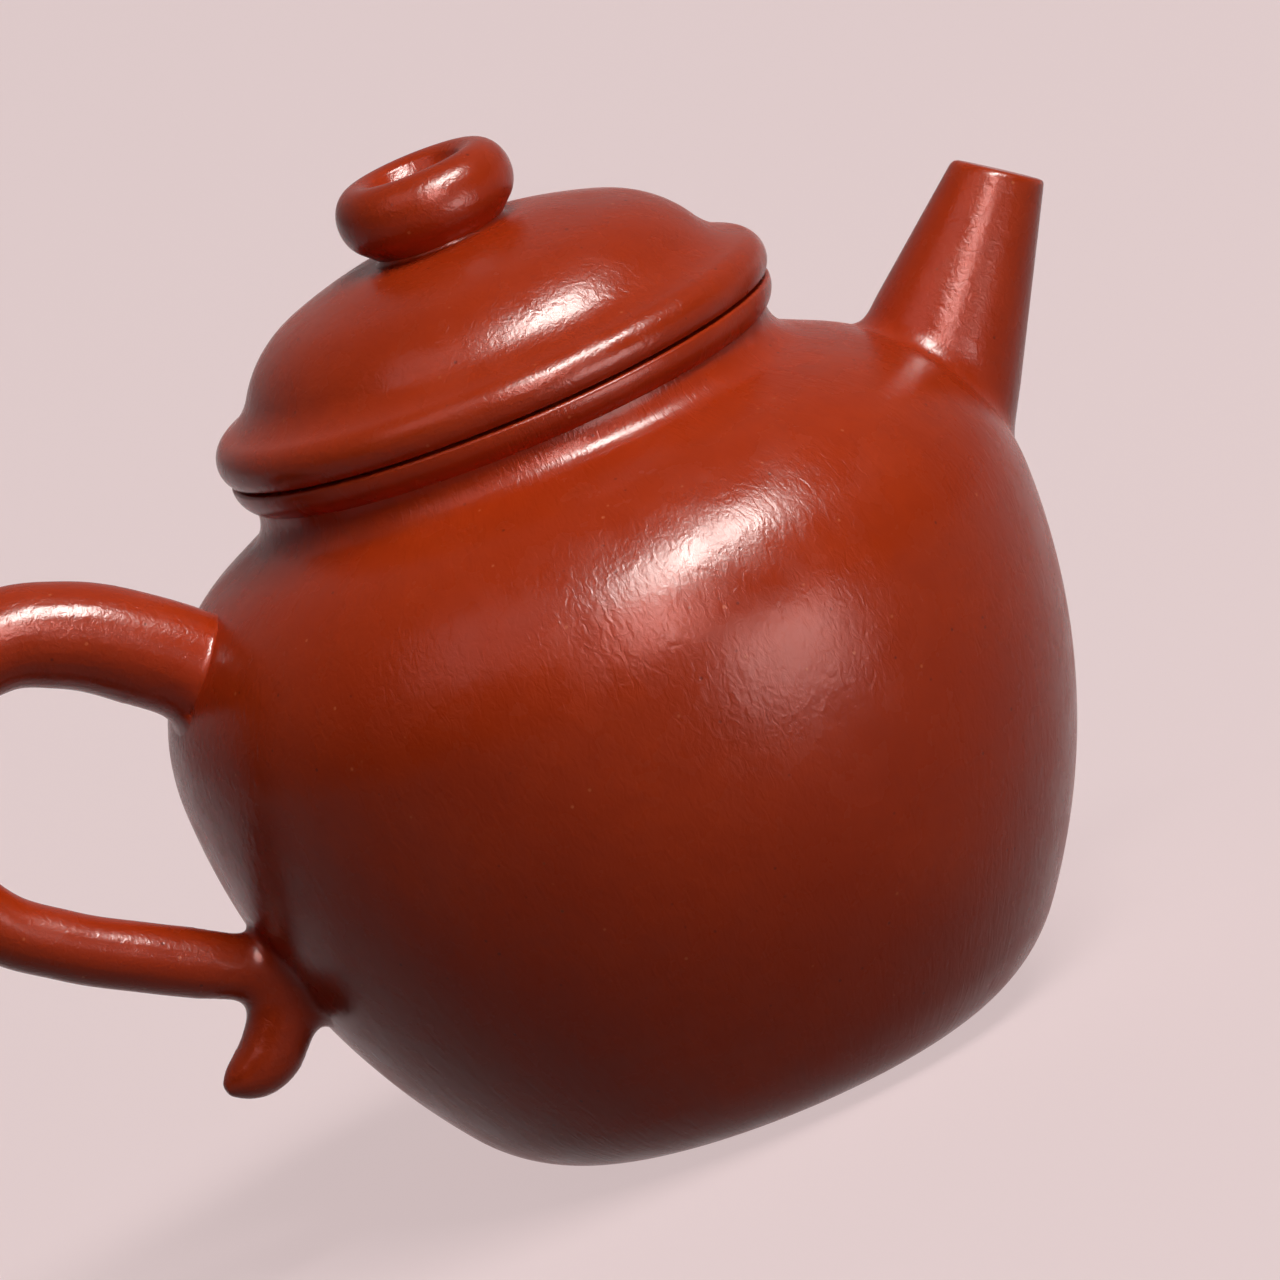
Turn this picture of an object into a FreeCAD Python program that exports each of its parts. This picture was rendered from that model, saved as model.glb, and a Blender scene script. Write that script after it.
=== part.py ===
import FreeCAD, Part
import math
import os

# Clay teapot in millimetres. The origin is the centre of the flat base, +Z is up
# and +X points to the spout. Radii are measured from the pot's upright axis.

# Pot body
wall = 3.0                  # thickness of the beaten wall, base and top disc
belly_r = 39.2              # widest radius
belly_z = 41.8              # height of the widest radius
flank_r = 59.0              # arc of the flank below the belly
heel_r = 15.5               # arc between the flank and the flat base
shoulder_arc_r = 18.9       # arc above the belly
shoulder_slope = 26.0       # degrees of the top disc to the level

# Neck and mouth
mouth_in_r = 20.6           # clear radius of the mouth
neck_t = 3.0                # thickness of the neck
cove_r = 3.2                # hollow between shoulder and neck
neck_rise = 0.3             # upright part of the neck above the cove
rim_h = 2.6                 # height of the bead around the mouth
rim_bulge = 1.3             # bead beyond the neck
rim_edge = 0.3              # round of the bead's upper edge

# Lid
lid_fit = 0.3               # gap between flange and mouth, all round
flange_t = 2.4              # thickness of the flange
flange_depth = 7.0          # flange below the lid's seat
brim_overhang = 0.48        # brim beyond the bead
brim_roll_r = 2.33          # round of the brim
brim_under = 53.0           # degrees below level where that round meets the seat
brim_top = 70.0             # degrees above level where it turns into the hollow
lid_cove_r = 5.8            # hollow between brim and dome
dome_foot_lean = 31.0       # degrees above level that the foot of the dome faces
dome_side_r = 10.85         # arc of the dome's side
crown_r = 44.0              # flatter arc of its crown
lid_wall = 2.8              # thickness of the domed plate at its middle
vent_r = 0.8                # air hole through the knob

# Knob
stem_r = 6.2                # waist of the stem
stem_spread = 0.7           # round where the stem spreads on the dome
stem_rise = 0.1             # upright part of the stem
knob_ring_r = 5.5           # radius of the knob's top ring
knob_bulge = 2.47           # knob beyond that ring
knob_round_h = 6.15         # full height of the knob's oval round
cup_lip = 60.0              # degrees that the round goes on inside the cup
cup_depth = 3.0             # hollow of the knob

# Spout
spout_lean = 41.0           # degrees from upright
spout_root_in = 3.2         # root centre, in from the belly
spout_root_up = 10.0        # root centre, up from the belly
spout_len = 17.4            # root centre to lip centre
spout_root_r = 7.5
spout_tip_r = 4.05
spout_tip_wall = 1.3
spout_root_wall = 2.4
lip_lean = 36.0             # degrees of the lip's normal from upright

# Strainer
strainer_r = 9.5            # outside of the pierced dome
strainer_t = 1.6
strainer_sink = 4.5         # its centre, in from the spout's root
strainer_hole_r = 1.0
strainer_rings = [(0.0, 1), (24.0, 6), (46.0, 11)]   # degrees off the middle, holes

# Handle: centre points as shares of its reach (out from the belly, up from the belly)
handle_reach = 23.0
handle_points = [(-0.400, 0.343), (-0.074, 0.661), (0.200, 0.848), (0.470, 0.922),
                 (0.761, 0.826), (0.965, 0.565), (0.987, 0.261), (0.870, -0.026),
                 (0.635, -0.230), (0.374, -0.396), (0.070, -0.570), (-0.226, -0.739)]
handle_root_r = 5.0         # upper root
handle_arm_r = 3.05         # lower arm
handle_slim = 0.7           # share of the length over which it slims
handle_width = 1.08         # section's width over its thickness
handle_sections = 19

# Tail: centre points as for the handle, the last one at its tip
tail_points = [(-0.226, -0.661), (-0.070, -0.820), (0.078, -0.945), (0.282, -0.990)]
tail_root_r = 3.0
tail_tip_r = 2.3            # thickness carried on to the very tip
tail_tip_len = 3.6          # length of the tip's round
tail_tip_flat = 0.25        # what the round leaves flat, as a share of the thickness
tail_sections = 12

UP = FreeCAD.Vector(0, 0, 1)
ACROSS = FreeCAD.Vector(0, 1, 0)
AXIS_FOOT = FreeCAD.Vector(0, 0, 0)


def at(r, z):
    return FreeCAD.Vector(r, 0, z)


def toward(degrees):
    # unit direction in the upright plane, 0 outwards and 90 up
    angle = math.radians(degrees)
    return at(math.cos(angle), math.sin(angle))


def line(start, end):
    return Part.LineSegment(start, end).toShape()


def arc(start, middle, end):
    return Part.Arc(start, middle, end).toShape()


def round_arc(centre, radius, start_deg, end_deg):
    middle_deg = (start_deg + end_deg) / 2
    return arc(centre + toward(start_deg) * radius,
               centre + toward(middle_deg) * radius,
               centre + toward(end_deg) * radius)


def oval_arc(centre, half_width, half_height, start_deg, end_deg):
    # arc of an upright oval, drawn on a unit circle and stretched
    stretch = FreeCAD.Matrix()
    stretch.scale(half_width, 1, half_height)
    edge = round_arc(at(0, 0), 1.0, start_deg, end_deg).transformGeometry(stretch)
    return edge.translated(centre)


def turned(edges):
    outline = Part.Wire(Part.__sortEdges__(edges))
    return Part.Face(outline).revolve(AXIS_FOOT, UP, 360)


def drilled(shape, radius, low, high):
    hole = Part.makeCylinder(radius, high - low, at(0, low), UP)
    return shape.cut(hole)


# Arcs of the pot's outline. The wall's inside has the same centres.
flank_centre = at(belly_r - flank_r, belly_z)
shoulder_centre = at(belly_r - shoulder_arc_r, belly_z)
heel_drop = belly_z - heel_r
heel_centre = at(flank_centre.x + math.sqrt((flank_r - heel_r) ** 2 - heel_drop ** 2), heel_r)
heel_end_deg = -math.degrees(math.asin(heel_drop / (flank_r - heel_r)))
shoulder_end_deg = 90 - shoulder_slope


def outline_arcs(inset):
    # heel, flank and shoulder arcs at a depth inside the pot's surface
    return [round_arc(heel_centre, heel_r - inset, -90, heel_end_deg),
            round_arc(flank_centre, flank_r - inset, heel_end_deg, 0),
            round_arc(shoulder_centre, shoulder_arc_r - inset, 0, shoulder_end_deg)]


def shoulder_end(inset):
    return shoulder_centre + toward(shoulder_end_deg) * (shoulder_arc_r - inset)


def shoulder_at(r, inset):
    # point of the top disc's straight slope at a radius
    start = shoulder_end(inset)
    return at(r, start.z + (start.x - r) * math.tan(math.radians(shoulder_slope)))


def pot_volume(inset):
    # everything inside the pot's surface, up to the slope carried on to the axis
    foot = at(0, inset)
    heel_foot = at(heel_centre.x, inset)
    top = shoulder_at(0, inset)
    edges = [line(foot, heel_foot)] + outline_arcs(inset)
    edges += [line(shoulder_end(inset), top), line(top, foot)]
    return turned(edges)


outside = pot_volume(0)
inside = pot_volume(wall)

# Base
base_disc = Part.makeCylinder(heel_centre.x, wall, AXIS_FOOT, UP)

# Wall, closed by cuts square to its surface
body_wall = turned(outline_arcs(0) + outline_arcs(wall) + [
    line(at(heel_centre.x, 0), at(heel_centre.x, wall)),
    line(shoulder_end(0), shoulder_end(wall))])

# Top disc around the mouth
disc_corners = [shoulder_end(0), shoulder_at(mouth_in_r, 0),
                shoulder_at(mouth_in_r, wall), shoulder_end(wall)]
shoulder_disc = turned([line(disc_corners[i - 1], disc_corners[i]) for i in range(len(disc_corners))])

# Neck on the top disc
neck_r = mouth_in_r + neck_t
slope_normal = toward(shoulder_end_deg)
cove_x = neck_r + cove_r
cove_centre = shoulder_at(cove_x, 0) + UP * (cove_r / math.cos(math.radians(shoulder_slope)))
cove_low = cove_centre - slope_normal * cove_r
rim_low_z = cove_centre.z + neck_rise
neck_collar = turned([
    line(shoulder_at(mouth_in_r, 0), cove_low),
    round_arc(cove_centre, cove_r, shoulder_end_deg + 180, 180),
    line(at(neck_r, cove_centre.z), at(neck_r, rim_low_z)),
    line(at(neck_r, rim_low_z), at(mouth_in_r, rim_low_z)),
    line(at(mouth_in_r, rim_low_z), shoulder_at(mouth_in_r, 0))])

# Bead around the mouth, widest just under its upper edge
seat_z = rim_low_z + rim_h
rim_r = neck_r + rim_bulge
bead_h = rim_h - rim_edge
bead_arc_r = (bead_h ** 2 + rim_bulge ** 2) / (2 * rim_bulge)
bead_low_deg = -math.degrees(math.asin(bead_h / bead_arc_r))
mouth_rim = turned([
    line(at(mouth_in_r, rim_low_z), at(neck_r, rim_low_z)),
    round_arc(at(rim_r - bead_arc_r, seat_z - rim_edge), bead_arc_r, bead_low_deg, 0),
    round_arc(at(rim_r - rim_edge, seat_z - rim_edge), rim_edge, 0, 90),
    line(at(rim_r - rim_edge, seat_z), at(mouth_in_r, seat_z)),
    line(at(mouth_in_r, seat_z), at(mouth_in_r, rim_low_z))])

# Lid flange, inside the mouth
flange_r = mouth_in_r - lid_fit
flange_in_r = flange_r - flange_t
lid_flange = Part.makeCylinder(flange_r, flange_depth, at(0, seat_z - flange_depth), UP)
lid_flange = drilled(lid_flange, flange_in_r, seat_z - flange_depth, seat_z)

# Rolled brim, with a hollow that runs into the foot of the dome
brim_r = rim_r + brim_overhang
brim_drop = brim_roll_r * math.sin(math.radians(brim_under))
roll_centre = at(brim_r - brim_roll_r, seat_z + brim_drop)
roll_low = roll_centre + toward(-brim_under) * brim_roll_r
lid_cove_centre = roll_centre + toward(brim_top) * (brim_roll_r + lid_cove_r)
dome_foot = lid_cove_centre - toward(dome_foot_lean) * lid_cove_r
lid_brim = turned([
    line(at(flange_in_r, seat_z), roll_low),
    round_arc(roll_centre, brim_roll_r, -brim_under, brim_top),
    round_arc(lid_cove_centre, lid_cove_r, brim_top + 180, dome_foot_lean + 180),
    line(dome_foot, at(flange_in_r, dome_foot.z)),
    line(at(flange_in_r, dome_foot.z), at(flange_in_r, seat_z))])

# Domed plate, with a level seat for the knob's stem
side_centre = dome_foot - toward(dome_foot_lean) * dome_side_r
side_end_deg = math.degrees(math.acos(side_centre.x / (crown_r - dome_side_r)))
crown_centre = side_centre - toward(side_end_deg) * (crown_r - dome_side_r)
stem_foot_r = stem_r + stem_spread
stem_seat_deg = math.degrees(math.acos(stem_foot_r / crown_r))
stem_low_z = crown_centre.z + crown_r * math.sin(math.radians(stem_seat_deg))
hollow_top_z = crown_centre.z + crown_r - lid_wall
lid_dome = turned([
    line(at(flange_in_r, dome_foot.z), dome_foot),
    round_arc(side_centre, dome_side_r, dome_foot_lean, side_end_deg),
    round_arc(crown_centre, crown_r, side_end_deg, stem_seat_deg),
    line(at(stem_foot_r, stem_low_z), at(0, stem_low_z)),
    line(at(0, stem_low_z), at(0, hollow_top_z)),
    oval_arc(at(0, dome_foot.z), flange_in_r, hollow_top_z - dome_foot.z, 0, 90)])
lid_dome = drilled(lid_dome, vent_r, dome_foot.z, stem_low_z)

# Stem, spreading on the dome
waist_z = stem_low_z + stem_spread
knob_low_z = waist_z + stem_rise
knob_stem = turned([
    line(at(vent_r, stem_low_z), at(stem_foot_r, stem_low_z)),
    round_arc(at(stem_foot_r, waist_z), stem_spread, 270, 180),
    line(at(stem_r, waist_z), at(stem_r, knob_low_z)),
    line(at(stem_r, knob_low_z), at(vent_r, knob_low_z)),
    line(at(vent_r, knob_low_z), at(vent_r, stem_low_z))])

# Knob, a round ring as wide as the stem at its foot, with a cup and the vent in its middle
ring_half_h = knob_round_h / 2
ring_low_deg = -math.degrees(math.acos((stem_r - knob_ring_r) / knob_bulge))
ring_centre = at(knob_ring_r, knob_low_z - ring_half_h * math.sin(math.radians(ring_low_deg)))
lip_dir = toward(90 + cup_lip)
lip_end = ring_centre + at(lip_dir.x * knob_bulge, lip_dir.z * ring_half_h)
cup_low = at(vent_r, ring_centre.z + ring_half_h - cup_depth)
cup_middle = at((lip_end.x + cup_low.x) / 2, cup_low.z + (lip_end.z - cup_low.z) / 4)
knob = turned([
    line(at(vent_r, knob_low_z), at(stem_r, knob_low_z)),
    oval_arc(ring_centre, knob_bulge, ring_half_h, ring_low_deg, 90 + cup_lip),
    arc(lip_end, cup_middle, cup_low),
    line(cup_low, at(vent_r, knob_low_z))])

# Spout, a straight cone that sits on the wall and opens into it
spout_dir = toward(90 - spout_lean)
spout_root = at(belly_r - spout_root_in, belly_z + spout_root_up)
spout_tip = spout_root + spout_dir * spout_len
root_reach = spout_root_r       # cone carried on into the pot, then trimmed
lip_reach = spout_tip_r         # cone carried on past the lip, then trimmed


def spout_cone(root_r, tip_r):
    slim = (root_r - tip_r) / spout_len
    foot = spout_root - spout_dir * root_reach
    return Part.makeCone(root_r + slim * root_reach, tip_r - slim * lip_reach,
                         root_reach + spout_len + lip_reach, foot, spout_dir)


lip_normal = toward(90 - lip_lean)
lip_trim = Part.makeCylinder(spout_root_r * 2, spout_root_r, spout_tip, lip_normal)
spout_bore = spout_cone(spout_root_r - spout_root_wall, spout_tip_r - spout_tip_wall)
spout = spout_cone(spout_root_r, spout_tip_r).cut(outside).cut(lip_trim).cut(spout_bore)
body_wall = body_wall.cut(spout_bore)

# Strainer, a pierced dome on the inside of the wall behind the spout
strainer_centre = spout_root - spout_dir * strainer_sink
strainer = Part.makeSphere(strainer_r, strainer_centre, spout_dir)
strainer = strainer.cut(Part.makeSphere(strainer_r - strainer_t, strainer_centre, spout_dir))
strainer = strainer.common(inside)
inward = spout_dir * -1
for tilt, count in strainer_rings:
    for index in range(count):
        hole = Part.makeCylinder(strainer_hole_r, strainer_r * 2, strainer_centre, inward)
        hole.rotate(strainer_centre, ACROSS, tilt)
        hole.rotate(strainer_centre, inward, 360 * index / count)
        strainer = strainer.cut(hole)


def beside_belly(shares):
    return [at(-belly_r - handle_reach * out, belly_z + handle_reach * up) for out, up in shares]


def section(centre, direction, thickness):
    # oval section square to a strip of clay, widest across the pot
    flat = ACROSS.cross(direction)
    edge = Part.Ellipse(centre + ACROSS * (thickness * handle_width), centre + flat * thickness, centre)
    return Part.Wire(edge.toShape())


def rolled_strip(middle, radius_at, shares):
    # clay strip along a smooth line, with an oval section at each share of its length
    wires = []
    for share in shares:
        place = middle.parameterAtDistance(middle.length() * share, middle.FirstParameter)
        wires.append(section(middle.value(place), middle.tangent(place)[0], radius_at(share)))
    return Part.makeLoft(wires, True)


def smooth_line(points):
    middle = Part.BSplineCurve()
    middle.interpolate(points)
    return middle


def handle_thickness(share):
    # slims smoothly from the upper root to the lower arm
    swing = math.pi * min(share / handle_slim, 1)
    return handle_arm_r + (handle_root_r - handle_arm_r) * (1 + math.cos(swing)) / 2


# Handle and its curled tail, both set on the wall
handle_line = smooth_line(beside_belly(handle_points))
handle_shares = [i / (handle_sections - 1) for i in range(handle_sections)]
handle = rolled_strip(handle_line, handle_thickness, handle_shares).cut(outside)

tail_line = smooth_line(beside_belly(tail_points))
tip_share = tail_tip_len / tail_line.length()


def tail_thickness(share):
    # slims evenly, then closes in the round of the tip
    plain = tail_root_r + (tail_tip_r - tail_root_r) * share
    into_tip = max(share - 1 + tip_share, 0) / tip_share
    return plain * max(math.sqrt(1 - into_tip ** 2), tail_tip_flat)


tail_shares = [math.sin(math.pi / 2 * i / (tail_sections - 1)) for i in range(tail_sections)]
handle_tail = rolled_strip(tail_line, tail_thickness, tail_shares).cut(outside).cut(handle)

parts = {
    "base_disc": base_disc,
    "body_wall": body_wall,
    "shoulder_disc": shoulder_disc,
    "neck_collar": neck_collar,
    "mouth_rim": mouth_rim,
    "strainer": strainer,
    "spout": spout,
    "handle": handle,
    "handle_tail": handle_tail,
    "lid_dome": lid_dome,
    "lid_brim": lid_brim,
    "lid_flange": lid_flange,
    "knob_stem": knob_stem,
    "knob": knob,
}

os.makedirs("parts", exist_ok=True)
for name, shape in parts.items():
    for solid in shape.Solids:
        print(name, "volume", round(solid.Volume, 1), "valid", solid.isValid(), solid.BoundBox)
    Part.makeCompound(shape.Solids).exportStep("parts/" + name + ".step")
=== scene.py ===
import bpy
import bmesh
import math
from mathutils import Matrix, Vector, noise
from mathutils.bvhtree import BVHTree


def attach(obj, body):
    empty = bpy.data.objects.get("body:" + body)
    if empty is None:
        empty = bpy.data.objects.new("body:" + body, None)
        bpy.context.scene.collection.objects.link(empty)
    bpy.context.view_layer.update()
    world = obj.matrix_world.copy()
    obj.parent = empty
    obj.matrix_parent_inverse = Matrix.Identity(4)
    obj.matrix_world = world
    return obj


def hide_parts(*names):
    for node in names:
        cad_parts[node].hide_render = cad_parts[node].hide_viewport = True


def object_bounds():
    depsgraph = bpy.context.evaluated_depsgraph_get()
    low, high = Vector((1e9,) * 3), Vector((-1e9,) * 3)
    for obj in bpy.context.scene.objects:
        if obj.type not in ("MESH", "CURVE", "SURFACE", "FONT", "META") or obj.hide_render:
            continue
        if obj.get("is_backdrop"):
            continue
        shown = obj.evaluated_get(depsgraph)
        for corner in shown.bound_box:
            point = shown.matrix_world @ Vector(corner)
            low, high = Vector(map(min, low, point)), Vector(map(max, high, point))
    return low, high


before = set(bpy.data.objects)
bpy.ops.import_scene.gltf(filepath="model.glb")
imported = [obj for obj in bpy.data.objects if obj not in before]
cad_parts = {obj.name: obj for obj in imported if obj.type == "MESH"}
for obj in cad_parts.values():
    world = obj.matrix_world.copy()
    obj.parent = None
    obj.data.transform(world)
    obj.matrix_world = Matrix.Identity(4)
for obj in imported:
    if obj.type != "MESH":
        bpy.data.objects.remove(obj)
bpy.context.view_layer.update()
scene = bpy.context.scene
scene.view_settings.view_transform = "Standard"
mm = 0.001
print("frame loaded:", len(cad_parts), "nodes")


# drawing a profile in the upright plane, in mm, and turning it on the wheel

penSet = {"merge": 0.004, "cornerSpot": 0.02}


def penStart(bm, r, z):
    return bm.verts.new((r * mm, 0, z * mm))


def lastVert(made):
    return [v for v in made["geom_last"] if isinstance(v, bmesh.types.BMVert)][0]


def penLine(bm, vert, r, z, step=1.0):
    way = Vector((r * mm, 0, z * mm)) - vert.co
    steps = max(1, int(way.length / (step * mm)))
    return lastVert(bmesh.ops.spin(bm, geom=[vert], cent=vert.co, axis=(0, 1, 0),
                                   dvec=way / steps, angle=0, steps=steps))


def penArc(bm, vert, r, z, degrees, step=0.7):
    centre = Vector((r * mm, 0, z * mm))  # positive degrees turn from outwards to upwards
    length = abs(math.radians(degrees)) * (vert.co - centre).length
    steps = max(4, int(length / (step * mm)))
    return lastVert(bmesh.ops.spin(bm, geom=[vert], cent=centre, axis=(0, -1, 0),
                                   angle=math.radians(degrees), steps=steps))


def penOval(bm, vert, z, height, degrees, step=0.7):
    width = vert.co.x / mm  # quarter oval that starts upright at its widest
    known = set(bm.verts)
    penArc(bm, vert, 0, z, degrees, step)
    foot = Matrix.Translation((0, 0, -z * mm))
    bmesh.ops.scale(bm, vec=(1, 1, height / width), space=foot,
                    verts=[v for v in bm.verts if v not in known])


def penThrough(bm, vert, middle, end, step=0.4):
    a = Vector((vert.co.x / mm, vert.co.z / mm))  # arc through a middle point
    b, c = Vector(middle), Vector(end)
    p, q = b - a, c - a
    d = 2 * p.cross(q)
    centre = a + Vector((q.y * p.length_squared - p.y * q.length_squared,
                         p.x * q.length_squared - q.x * p.length_squared)) / d
    swing = (a - centre).angle_signed(c - centre)  # clockwise positive
    return penArc(bm, vert, centre.x, centre.y, -math.degrees(swing), step)


def softenCorners(bm, spots, size):
    bmesh.ops.remove_doubles(bm, verts=bm.verts[:], dist=penSet["merge"] * mm)
    chosen = [v for v in bm.verts for r, z in spots
              if (v.co - Vector((r * mm, 0, z * mm))).length < penSet["cornerSpot"] * mm]
    bmesh.ops.bevel(bm, geom=chosen, offset=size * mm, affect="VERTICES", segments=4,
                    profile=0.5, material=-1)


def turnOnWheel(bm, around):
    bmesh.ops.remove_doubles(bm, verts=bm.verts[:], dist=penSet["merge"] * mm)
    bmesh.ops.spin(bm, geom=bm.verts[:] + bm.edges[:], cent=(0, 0, 0), axis=(0, 0, 1),
                   angle=math.tau, steps=around, use_merge=True)
    bmesh.ops.remove_doubles(bm, verts=bm.verts[:], dist=penSet["merge"] * mm)
    bmesh.ops.recalc_face_normals(bm, faces=bm.faces[:])


# finishing a piece

handSet = {"centre": 42.0, "depth": 0.07, "mean": 0.5, "wave": 13.0, "waveShare": 0.4, "ripple": 5.0,
           "rippleShare": 0.12, "rippleShift": (7, 3, 5), "flatBelow": 4.0}


def shapeByHand(bm):
    # shallow unevenness of beaten clay, always inwards, the same field on every piece
    middle = Vector((0, 0, handSet["centre"] * mm))
    for v in bm.verts:
        slow = noise.noise(v.co / (handSet["wave"] * mm))
        quick = noise.noise(v.co / (handSet["ripple"] * mm) + Vector(handSet["rippleShift"]))
        share = handSet["mean"] + handSet["waveShare"] * slow + handSet["rippleShare"] * quick
        dip = handSet["depth"] * mm * share
        fade = min(max(v.co.z / (handSet["flatBelow"] * mm), 0), 1)
        v.co -= (v.co - middle).normalized() * dip * fade


def newObject(bm, name):
    mesh = bpy.data.meshes.new(name)
    bm.to_mesh(mesh)
    bm.free()
    thing = bpy.data.objects.new(name, mesh)
    scene.collection.objects.link(thing)
    return thing


def applyTools(piece):
    bpy.context.view_layer.update()
    result = bpy.data.meshes.new_from_object(piece.evaluated_get(bpy.context.evaluated_depsgraph_get()))
    piece.modifiers.clear()
    piece.data = result


def carve(piece, cutter, operation="DIFFERENCE"):
    tool = piece.modifiers.new("carve", "BOOLEAN")
    tool.object = cutter
    tool.operation = operation
    tool.solver = "EXACT"
    applyTools(piece)
    bpy.data.objects.remove(cutter)


def finishPiece(piece, body, nodes, clay, sharp=38):
    piece.data.shade_smooth()
    piece.data.set_sharp_from_angle(angle=math.radians(sharp))
    piece.data.materials.clear()
    piece.data.materials.append(clay)
    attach(piece, body)
    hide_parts(*nodes)
    print("piece:", piece.name, len(piece.data.polygons), "faces")


# clay

claySet = {"colour": (0.42, 0.036, 0.0045), "deep": (0.36, 0.028, 0.003),
           "grain": (0.52, 0.10, 0.035), "speck": (0.15, 0.014, 0.004),
           "cloudScale": 70, "cloudRange": (0.35, 0.7),
           "mottleScale": 420, "mottleRange": (0.4, 0.7), "mottleShare": 0.5,
           "grainScale": 1100, "grainEdge": (0.1, 0.22), "paleRange": (0.975, 0.98),
           "darkRange": (0.95, 0.96), "darkShare": 0.8,
           "rough": 0.26, "roughLess": 0.05, "roughMore": 0.06,
           "roughScale": 260, "roughRange": (0.3, 0.7),
           "bump": 0.05, "wrinkleScale": 1350, "wrinkleTwist": 0.9,
           "toothScale": 3600, "toothShare": 0.22, "pitShare": -0.2,
           "strokeR": 39.0, "strokeSlant": -0.4}


def makeClay(name, streak, specular):
    clay = bpy.data.materials.new(name)
    clay.use_nodes = True
    tree = clay.node_tree
    nodes, links = tree.nodes, tree.links
    nodes.clear()

    def add(kind, **values):
        node = nodes.new("ShaderNode" + kind)
        for key, value in values.items():
            if hasattr(node, key):
                setattr(node, key, value)
            else:
                node.inputs[key].default_value = value
        return node

    def mixColour(fac, one, two):
        node = add("MixRGB")
        links.new(fac, node.inputs["Fac"])
        for socket, value in (("Color1", one), ("Color2", two)):
            if isinstance(value, tuple):
                node.inputs[socket].default_value = (*value, 1)
            else:
                links.new(value, node.inputs[socket])
        return node.outputs["Color"]

    def spread(value, low, high, toLow=0.0, toHigh=1.0):
        node = add("MapRange")
        links.new(value, node.inputs["Value"])
        for socket, number in (("From Min", low), ("From Max", high),
                               ("To Min", toLow), ("To Max", toHigh)):
            node.inputs[socket].default_value = number
        return node.outputs["Result"]

    def noiseOf(vector, scale, detail=2.0, distortion=0.0):
        node = add("TexNoise", Scale=scale, Detail=detail, Distortion=distortion)
        links.new(vector, node.inputs["Vector"])
        return node.outputs["Fac"]

    place = add("TexCoord").outputs["Object"]
    along = place
    if streak:
        # strokes run up and down the flank: squeeze the way round, stretch the way up
        part = add("SeparateXYZ")
        links.new(place, part.inputs[0])
        flat = add("CombineXYZ")
        links.new(part.outputs["X"], flat.inputs["X"])
        links.new(part.outputs["Y"], flat.inputs["Y"])
        outward = add("VectorMath", operation="NORMALIZE")
        links.new(flat.outputs[0], outward.inputs[0])
        radius = add("VectorMath", operation="LENGTH")
        links.new(flat.outputs[0], radius.inputs[0])
        climb = add("Math", operation="MULTIPLY_ADD")
        links.new(radius.outputs["Value"], climb.inputs[0])
        climb.inputs[1].default_value = claySet["strokeSlant"]
        links.new(part.outputs["Z"], climb.inputs[2])
        lift = add("CombineXYZ")
        links.new(climb.outputs[0], lift.inputs["Z"])
        ring = add("VectorMath", operation="SCALE", Scale=claySet["strokeR"] * mm)
        links.new(outward.outputs[0], ring.inputs[0])
        stretch = add("VectorMath", operation="SCALE", Scale=streak)
        links.new(lift.outputs[0], stretch.inputs[0])
        joined = add("VectorMath", operation="ADD")
        links.new(ring.outputs[0], joined.inputs[0])
        links.new(stretch.outputs[0], joined.inputs[1])
        along = joined.outputs[0]

    cloudy = spread(noiseOf(place, claySet["cloudScale"], 3), *claySet["cloudRange"])
    mottled = spread(noiseOf(place, claySet["mottleScale"], 2), *claySet["mottleRange"],
                     toHigh=claySet["mottleShare"])
    grains = add("TexVoronoi", Scale=claySet["grainScale"], Randomness=1.0)
    links.new(place, grains.inputs["Vector"])
    rare = add("SeparateColor")
    links.new(grains.outputs["Color"], rare.inputs[0])
    nearGrain = spread(grains.outputs["Distance"], *claySet["grainEdge"], toLow=1, toHigh=0)
    paleOnes = add("Math", operation="MULTIPLY")
    links.new(nearGrain, paleOnes.inputs[0])
    links.new(spread(rare.outputs["Red"], *claySet["paleRange"]), paleOnes.inputs[1])  # only a few cells
    darkOnes = add("Math", operation="MULTIPLY")
    links.new(nearGrain, darkOnes.inputs[0])
    links.new(spread(rare.outputs["Green"], *claySet["darkRange"], toHigh=claySet["darkShare"]),
              darkOnes.inputs[1])
    tint = mixColour(cloudy, claySet["colour"], claySet["deep"])
    tint = mixColour(mottled, tint, claySet["deep"])
    tint = mixColour(paleOnes.outputs[0], tint, claySet["grain"])
    tint = mixColour(darkOnes.outputs[0], tint, claySet["speck"])

    rough = spread(noiseOf(place, claySet["roughScale"], 4), *claySet["roughRange"],
                   claySet["rough"] - claySet["roughLess"], claySet["rough"] + claySet["roughMore"])

    wrinkle = noiseOf(along, claySet["wrinkleScale"], 3, claySet["wrinkleTwist"])
    tooth = noiseOf(place, claySet["toothScale"], 2)
    height = add("Math", operation="MULTIPLY_ADD")
    links.new(tooth, height.inputs[0])
    height.inputs[1].default_value = claySet["toothShare"]
    links.new(wrinkle, height.inputs[2])
    pitted = add("Math", operation="MULTIPLY_ADD")
    links.new(darkOnes.outputs[0], pitted.inputs[0])
    pitted.inputs[1].default_value = claySet["pitShare"]
    links.new(height.outputs[0], pitted.inputs[2])
    bump = add("Bump", Strength=1.0, Distance=claySet["bump"] * mm)
    links.new(pitted.outputs[0], bump.inputs["Height"])

    shader = add("BsdfPrincipled")
    links.new(tint, shader.inputs["Base Color"])
    links.new(rough, shader.inputs["Roughness"])
    links.new(bump.outputs[0], shader.inputs["Normal"])
    shader.inputs["Specular IOR Level"].default_value = specular
    out = add("OutputMaterial")
    links.new(shader.outputs[0], out.inputs["Surface"])
    return clay


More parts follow.
